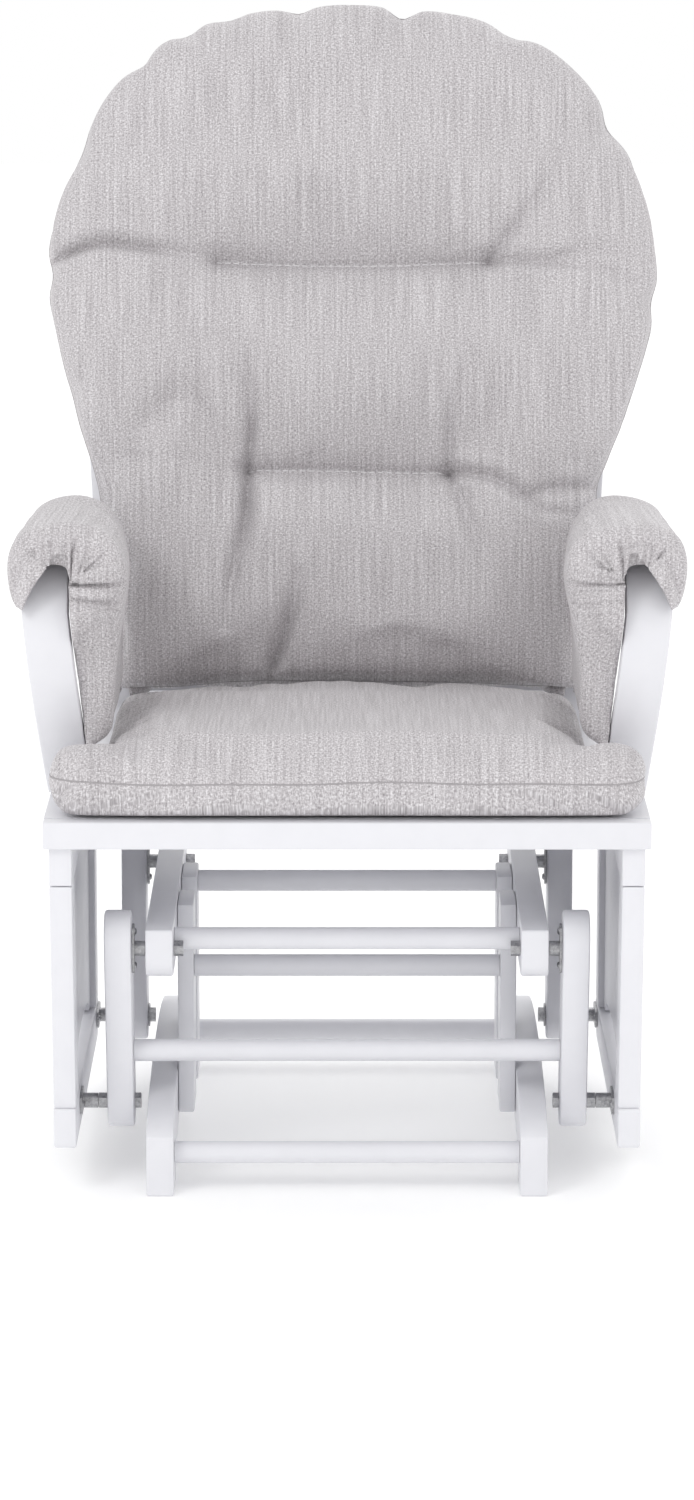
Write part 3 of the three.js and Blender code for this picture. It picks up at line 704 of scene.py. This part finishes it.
ARM_MIDDLE_TOP = ARM_HI.x - 22.5 * MM  # middle of the armrest board
PAD_REAR = PAD_HI.y - FRONT
PAD_GIRTH = 0.40  # metres along the section, roughly
PAD_RUFFLES = (0.010, 0.015, 0.024)  # wavelengths along the gathered edge, in metres
PAD_CREASES = [  # metres along the section; then width, depth and reach in millimetres
    (0.150, 2.0, 6.5, 18), (0.195, 2.4, 5.0, 22), (0.240, 2.6, 6.5, 26), (0.262, 2.0, 4.5, 18),
]


def board_height(y):
    """Middle of the armrest board at y behind the apron's face."""
    return ARM_HI.z - 10 * MM - 0.065 * (y - 190 * MM)


# Section of the pad, outwards from the arm's middle and up from the board's middle, lip to flap.
PAD_OUTER = smooth_curve(np.array([
    (23, -49), (31, -36), (36, -12), (35, 9), (27, 26), (10, 36), (-14, 40), (-39, 38), (-60, 30), (-75, 14),
    (-81, -9), (-80, -34), (-75, -62), (-69, -92), (-66, -125), (-65, -152), (-60, -171),
]) * MM, 130)
PAD_INNER = smooth_curve(np.array([
    (25, -48), (25, -33), (25, -15), (25, 6), (20, 13), (0, 14), (-20, 13), (-25, 6), (-25, -15), (-25, -40),
    (-27, -75), (-31, -110), (-35, -145), (-38.5, -178),
]) * MM, 130)
PAD_HEM = smooth_curve(np.array([  # the gathered front edge: it slants across the end of the armrest
    (21, -47), (19, -40), (13, -27), (5, -14), (-4, -2), (-11, 8), (-17, 12), (-22, 7), (-24, -8), (-25, -40),
    (-27, -75), (-31, -110), (-35, -145), (-38.5, -178),
]) * MM, 130)


def pad_point(share, y, deep):
    """A place on the pad: share along its section, y, and deep from 0 on the lining to 1 on the outside."""
    at = share * (len(PAD_OUTER) - 1)
    steps = np.arange(len(PAD_OUTER))
    outer = np.stack([np.interp(at, steps, PAD_OUTER[:, k]) for k in range(2)], axis=1)
    inner = np.stack([np.interp(at, steps, PAD_INNER[:, k]) for k in range(2)], axis=1)
    towards_back = np.clip((y - 80 * MM) / 0.38, 0, 1)
    inwards = np.clip(-outer[:, 0] / 0.06 - 0.2, 0, 1)
    raised = np.clip(1 + outer[:, 1] / 0.2, 0, 1)
    outer[:, 0] += 17 * MM * towards_back * inwards * raised
    hem = np.stack([np.interp(at, steps, PAD_HEM[:, k]) for k in range(2)], axis=1)
    drop = 14 * MM * np.clip((150 * MM - y) / (50 * MM), 0, 1)
    inner[:, 1] -= drop * np.clip((inner[:, 1] + 10 * MM) / (20 * MM), 0, 1)
    inner += (hem - inner) * np.clip((88 * MM - y) / (8 * MM), 0, 1)[:, None]
    section = inner + (outer - inner) * deep[:, None]
    fall = np.clip((section[:, 1] + 0.18) / 0.13, 0, 1)
    base = board_height(190 * MM) + (board_height(y) - board_height(190 * MM)) * fall
    return np.stack([section[:, 0], y, base + section[:, 1]], axis=1)


def pad_front(share):
    flap = np.clip((share - 0.5) / 0.3, 0, 1)
    flap = flap * flap * (3 - 2 * flap)
    return (70 + 32 * flap) * MM


def arm_pad_mesh(name, side, seed):
    along, across = 110, 130
    share, turn = np.meshgrid(np.linspace(0, 1, across), np.linspace(0, math.pi, along), indexing="ij")
    share, run = share.ravel(), (0.5 - 0.5 * np.cos(turn)).ravel()
    front = pad_front(share)
    rear = PAD_REAR - 52 * MM * np.clip((share - 0.6) / 0.4, 0, 1) - 2 * MM
    y = front + (rear - front) * run
    section = PAD_GIRTH * share
    to_front, to_rear = y - front, rear - y
    to_lip, to_flap = section, PAD_GIRTH - section

    def rounded(gap, reach):
        return np.sqrt(np.clip(1 - (1 - np.clip(gap / reach, 0, 1)) ** 2, 0, 1))

    thick = rounded(to_front, (32 - 14 * np.clip((share - 0.5) / 0.3, 0, 1)) * MM) * rounded(to_rear, 24 * MM)
    thick *= rounded(to_lip, 26 * MM) * (0.35 + 0.65 * rounded(to_flap, 10 * MM))
    lumps = bump_noise(np.stack([section, y], axis=1), 0.09, seed + 1)
    depth = thick * (1 + 0.035 * lumps)
    hem = thick > 0.02
    outer = pad_point(share, y, np.where(hem, np.clip(depth, 0.06, 1.15), 0))
    inner = pad_point(share, y, np.zeros(len(y)))
    outer[:, 0] *= side
    inner[:, 0] *= side
    vertices = np.vstack([outer, inner])
    vertices[:, 0] += side * ARM_MIDDLE_TOP
    vertices[:, 1] += FRONT
    count = along * across
    faces = []
    for i in range(across - 1):
        for j in range(along - 1):
            a = i * along + j
            quad = (a, a + 1, a + along + 1, a + along)
            faces.append(quad)
            faces.append(tuple(count + k for k in quad[::-1]))
    border = list(range(along)) + [i * along + along - 1 for i in range(1, across)]
    border += [(across - 1) * along + j for j in range(along - 2, -1, -1)]
    border += [i * along for i in range(across - 2, 0, -1)]
    for a, b in zip(border, border[1:] + border[:1]):
        faces.append((b, a, count + a, count + b))
    piece = make_object(name, vertices, faces)
    close_up(piece, 1e-5)
    return piece


def make_arm_pad(name, side, seed, material):
    piece = arm_pad_mesh(f"arm_pad_{name}_soft", side, seed)
    remesh(piece, 3.2 * MM)
    relax(piece, 1)
    subdivide(piece)
    points = vertices_of(piece)
    normals = np.empty(len(points) * 3)
    piece.data.vertices.foreach_get("normal", normals)
    normals = normals.reshape(-1, 3)
    y = points[:, 1] - FRONT
    section = np.stack([side * points[:, 0] - ARM_MIDDLE_TOP, points[:, 2] - board_height(y)], axis=1)
    _, share = distance_to(section, PAD_OUTER)
    to_front = y - pad_front(share)
    run = PAD_GIRTH * share
    wave = np.random.default_rng(seed)
    ruffle = sum(np.sin(run * 2 * math.pi / size + wave.uniform(0, 6.28)) for size in PAD_RUFFLES) / 2
    near = np.exp(-(np.clip(to_front, 0, 1) / (8 * MM)) ** 2) * np.clip((share - 0.12) / 0.1, 0, 1)
    move = 2.6 * MM * ruffle * near * np.clip((0.74 - share) / 0.1, 0, 1)
    band = (9 + 5 * np.sin(share * 9 + seed)) * MM
    crease = np.exp(-((to_front - band) / (2.6 * MM)) ** 2)
    move -= 4.2 * MM * crease * np.clip((0.55 - share) / 0.1, 0, 1) * np.clip(share / 0.08, 0, 1)
    for place, wide, deep, reach in PAD_CREASES:
        fade = np.clip(1 - to_front / (reach * MM), 0, 1)
        move -= deep * MM * np.exp(-((run - place) / (wide * MM)) ** 2) * fade
    set_vertices(piece, points + normals * move[:, None])
    piece.data.materials.append(material)
    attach(piece, "seat")
    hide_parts(f"arm_pad_{name}")
    return piece


# ---------- Seams, stitches, ties and screws ----------

def tube(path, radius, sides=6, closed=False):
    """Vertices and faces of a round thread along a path."""
    path = np.asarray(path)
    if closed:
        heading = np.roll(path, -1, axis=0) - np.roll(path, 1, axis=0)
    else:
        heading = np.gradient(path, axis=0)
    heading /= np.linalg.norm(heading, axis=1, keepdims=True) + 1e-12
    up = np.array([0.31, 0.17, 0.93])
    first = np.cross(heading, up)
    first /= np.linalg.norm(first, axis=1, keepdims=True)
    second = np.cross(heading, first)
    turn = np.linspace(0, 2 * math.pi, sides, endpoint=False)
    cosine, sine = np.cos(turn)[None, :, None], np.sin(turn)[None, :, None]
    rings = path[:, None] + radius * (cosine * first[:, None] + sine * second[:, None])
    faces = []
    for i in range(len(path) if closed else len(path) - 1):
        a, b = i * sides, (i + 1) % len(path) * sides
        for j in range(sides):
            k = (j + 1) % sides
            faces.append((a + j, a + k, b + k, b + j))
    if not closed:
        faces.append(tuple(range(sides))[::-1])
        faces.append(tuple((len(path) - 1) * sides + j for j in range(sides)))
    return rings.reshape(-1, 3), faces


def gathered_up(name, parts, material, body):
    """One object from several (vertices, faces) parts."""
    vertices, faces, count = [], [], 0
    for points, quads in parts:
        vertices.append(points)
        faces += [tuple(count + k for k in quad) for quad in quads]
        count += len(points)
    piece = make_object(name, np.vstack(vertices), faces, material)
    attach(piece, body)
    return piece


def surface_of(piece):
    return BVHTree.FromObject(piece, bpy.context.evaluated_depsgraph_get())


def struck(tree, starts, direction):
    """Where rays from the starts meet a surface; rays that miss are left out."""
    hits = []
    for start, way in zip(starts, direction):
        hit, _, _, _ = tree.ray_cast(Vector(start), Vector(way), 0.5)
        if hit:
            hits.append(np.array(hit))
    return np.array(hits)


def make_back_stitches(piece, material):
    tree = surface_of(piece)
    parts = []
    for line in (STITCH_UPPER, STITCH_LOWER):
        run = np.linalg.norm(np.diff(line, axis=0), axis=1).sum()
        dense = smooth_curve(line, int(run / (1.5 * MM)))
        starts = back_place(dense, np.full(len(dense), 0.2))
        course = struck(tree, starts, np.tile(-AXIS_W, (len(starts), 1)))
        for first in range(0, len(course) - 5, 6):
            stitch = course[first:first + 5].copy()
            stitch += AXIS_W * (np.array([-0.9, 0.45, 0.8, 0.45, -0.9]) * MM)[:, None]
            parts.append(tube(stitch, 0.75 * MM))
    gathered_up("back_cushion_stitches", parts, material, "seat")


def make_rim_seam(name, piece, starts, centre, material, radius):
    tree = surface_of(piece)
    way = centre - starts
    way /= np.linalg.norm(way, axis=1, keepdims=True)
    course = struck(tree, starts, way)
    course = smooth_curve(course, 360, closed=True)
    gathered_up(name, [tube(course, radius, closed=True)], material, "seat")


TAPE_WIDTH, TAPE_THICKNESS = 9 * MM, 1.2 * MM


def ribbon(path):
    """A flat woven tape along a path in millimetres, standing on edge."""
    path = smooth_curve(np.array(path) * MM, 60)
    heading = np.gradient(path, axis=0)
    heading /= np.linalg.norm(heading, axis=1, keepdims=True)
    lean = np.array([0.15, 0.1, 1.0])
    across = lean - (heading @ lean)[:, None] * heading
    across /= np.linalg.norm(across, axis=1, keepdims=True)
    out = np.cross(heading, across)
    signs = ((-1, -1), (1, -1), (1, 1), (-1, 1))
    corners = [(a * TAPE_WIDTH / 2, b * TAPE_THICKNESS / 2) for a, b in signs]
    rings = np.stack([path + a * across + b * out for a, b in corners], axis=1)
    faces = []
    for i in range(len(path) - 1):
        for j in range(4):
            k = (j + 1) % 4
            faces.append((4 * i + j, 4 * i + k, 4 * i + 4 + k, 4 * i + 4 + j))
    faces += [(3, 2, 1, 0), tuple(4 * (len(path) - 1) + j for j in range(4))]
    return rings.reshape(-1, 3), faces


def knot(centre, size, seed):
    """A small pulled knot: a lumpy ball drawn in across its middle."""
    spokes, rows = 18, 10
    around = np.linspace(0, 2 * math.pi, spokes, endpoint=False)
    turn, rise = np.meshgrid(around, np.linspace(0.12, math.pi - 0.12, rows))
    way = np.stack([np.sin(rise) * np.cos(turn), np.sin(rise) * np.sin(turn), np.cos(rise)], axis=-1)
    way = way.reshape(-1, 3)
    waist = np.exp(-((way[:, 0] + 0.3 * way[:, 2]) / 0.16) ** 2)
    reach = 1 + 0.16 * bump_noise(way, 1.1, seed) - 0.25 * waist
    points = np.asarray(centre) * MM + way * reach[:, None] * np.array(size) * MM
    faces = []
    for i in range(rows - 1):
        a, b = spokes * i, spokes * (i + 1)
        for j in range(spokes):
            k = (j + 1) % spokes
            faces.append((a + j, b + j, b + k, a + k))
    last = spokes * (rows - 1)
    faces += [tuple(range(spokes)), tuple(last + j for j in range(spokes - 1, -1, -1))]
    return points, faces


# The tapes on the right-hand side, in millimetres from the apron's face and the floor.
LOWER_LOOP = [
    (228, 474, 425), (212, 492, 425), (207, 520, 424), (206, 548, 423), (214, 562, 422), (236, 566, 421),
    (257, 562, 421), (264, 548, 422), (262, 524, 423), (254, 502, 424), (246, 490, 424),
]
LOWER_TAIL = [(244, 486, 424), (251, 482, 418), (256, 478, 404), (254, 470, 391)]
LOWER_BOW = [(244, 486, 425), (240, 482, 436), (244, 476, 440), (249, 473, 432), (250, 470, 412)]
TIE_FOOT = (501, 325)  # y and z at the foot of the stile
TIE_COURSE = (0.292, 0.956)  # y and z for each millimetre up the stile
UPPER_TIES = [(250, 248), (600, 268)]  # distance up the stile, and x


def make_ties(material):
    """Tapes that hold the cushions to the stiles."""
    for side, name in ((-1, "left"), (1, "right")):
        parts = [ribbon(LOWER_LOOP), knot((244, 487, 424), (7, 5, 7), 5 if side > 0 else 6)]
        parts += [ribbon(LOWER_TAIL), ribbon(LOWER_BOW)]
        for v, x in UPPER_TIES:
            y, z = (foot + step * v for foot, step in zip(TIE_FOOT, TIE_COURSE))
            parts.append(knot((x * 0.985, y + 27, z - 8), (9, 6, 7), 7 + v + side))
            tail = [(x, y + 28, z - 8), (x + 5, y + 34, z - 24), (x - 1, y + 30, z - 46)]
            tail.append((x + 3, y + 27, z - 70))
            other_tail = [(2 * x - a - 6, b - 1, c + 5) for a, b, c in tail]
            inner = [(x - 34, y - 6, z), (x - 30, y + 14, z - 2), (x - 14, y + 25, z - 5), (x, y + 27, z - 8)]
            outer = [(x + 30, y - 4, z), (x + 28, y + 14, z - 2), (x + 14, y + 25, z - 5), (x, y + 27, z - 8)]
            parts += [ribbon(course) for course in (tail, other_tail, inner, outer)]
        placed = []
        for points, faces in parts:
            points = points.copy()
            points[:, 0] *= side
            points[:, 1] += FRONT
            placed.append((points, faces))
        gathered_up(f"cushion_ties_{name}", placed, material, "seat")


STILE_FOOT_X = 228
STILE_SPREAD, STILE_RUN = 37, 560  # how far a stile spreads outwards, and over what length


def screw_head(place, way, radius):
    """A domed head with a socket, on a surface at place, facing along way."""
    profile = [(0.0, 0.12), (0.42, 0.12), (0.48, 0.62), (0.62, 0.60), (0.85, 0.42), (1.0, 0.12), (1.0, -0.1)]
    way = np.asarray(way, float)
    first = np.cross(way, [0.2, 0.3, 0.9])
    first /= np.linalg.norm(first)
    second = np.cross(way, first)
    count = 16
    turn = np.linspace(0, 2 * math.pi, count, endpoint=False)
    spokes = np.cos(turn)[:, None] * first + np.sin(turn)[:, None] * second
    points = [np.asarray(place) + radius * profile[0][1] * way]
    points += [np.asarray(place) + radius * (r * spoke + h * way) for r, h in profile[1:] for spoke in spokes]
    faces = [(0, 1 + j, 1 + (j + 1) % count) for j in range(count)]
    for i in range(len(profile) - 2):
        a, b = 1 + count * i, 1 + count * (i + 1)
        faces += [(a + j, b + j, b + (j + 1) % count, a + (j + 1) % count) for j in range(count)]
    return np.array(points), faces


def make_screws(material):
    plate, reach = 2.2 * MM, 17 * MM
    bodies = {"front_left": "front_hangers", "front_right": "front_hangers"}
    bodies |= {"rear_left": "rear_hanger_left", "rear_right": "rear_hanger_right"}
    for corner, hanger in bodies.items():
        side = -1 if corner.endswith("left") else 1
        for level, body, step in (("upper", hanger, (0, 0, reach)), ("lower", "seat", (0, reach, 0))):
            low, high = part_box(f"{level}_bracket_{corner}")
            face = (high.x if side > 0 else low.x) - side * plate
            middle = np.array([face, (low.y + high.y) / 2, (low.z + high.z) / 2])
            parts = [screw_head(middle + sign * np.array(step), (-side, 0, 0), 3.4 * MM) for sign in (-1, 1)]
            gathered_up(f"bracket_screws_{level}_{corner}", parts, material, body)
    back = []
    for side in (-1, 1):
        for v in (12, 34, 116):
            x = STILE_FOOT_X + STILE_SPREAD * v / STILE_RUN
            spot = back_place(np.array([[side * x, v]]) * MM, np.array([-BOARD]))[0]
            back.append(screw_head(spot, -AXIS_W, 5 * MM))
    gathered_up("back_screws", back, material, "seat")


# ---------- Scene ----------

make_camera()
make_studio()
PAINT = paint_material()
ZINC = metal_material("zinc_plate", (0.56, 0.56, 0.57), (0.24, 0.24, 0.25), 0.36)
LINEN_BACK = linen_material("linen_back", AXIS_V)
for node_name, node_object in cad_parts.items():
    finish = ZINC if ("bolt" in node_name or "bracket" in node_name) else PAINT
    node_object.data.materials.clear()
    node_object.data.materials.append(finish)
    node_object.data.polygons.foreach_set("use_smooth", [True] * len(node_object.data.polygons))
    weld = node_object.modifiers.new("weld", "WELD")
    weld.merge_threshold = 1e-5
    crisp = node_object.modifiers.new("crisp", "EDGE_SPLIT")
    crisp.split_angle = math.radians(28)
back_cushion = make_back_cushion(LINEN_BACK)
seat_cushion, SEAT_RIM = make_seat_cushion(linen_material("linen_seat", (0, 1, 1)))
LINEN_ARMS = linen_material("linen_arms", (0, 0.35, 1))
make_arm_pad("left", -1, 21, LINEN_ARMS)
make_arm_pad("right", 1, 34, LINEN_ARMS)
STITCH = thread_material("stitch_thread", (0.86, 0.85, 0.86))
# The seam thread is darker than the linen: painted shade standing in for the shadow in each cushion's seam
# groove.
SEAM_SHADE_THREAD = thread_material("seam_shade_thread", (0.40, 0.38, 0.39))
make_back_stitches(back_cushion, STITCH)
# Each seam is found by rays from well outside its cushion, towards the cushion's centre. The dark tube laid
# along it is painted shade for the shadow in the seam's groove.
far = back_rim() * 1.6 - np.array([0, 0.27])
make_rim_seam("back_cushion_seam_shade", back_cushion, back_place(far, np.full(len(far), BACK_MID)),
              back_place(BACK_CENTRE[None], np.array([BACK_MID])), SEAM_SHADE_THREAD, 0.6 * MM)
far = SEAT_RIM * 1.5 - np.array([0, 0.1])
make_rim_seam("seat_cushion_seam_shade", seat_cushion, seat_place(far, seat_seam_height(SEAT_RIM)),
              seat_place(SEAT_CENTRE[None], np.array([SEAM_HEIGHT])), SEAM_SHADE_THREAD, 0.8 * MM)
make_ties(linen_material("linen_tape", (0, 0.3, 1)))
make_screws(ZINC)
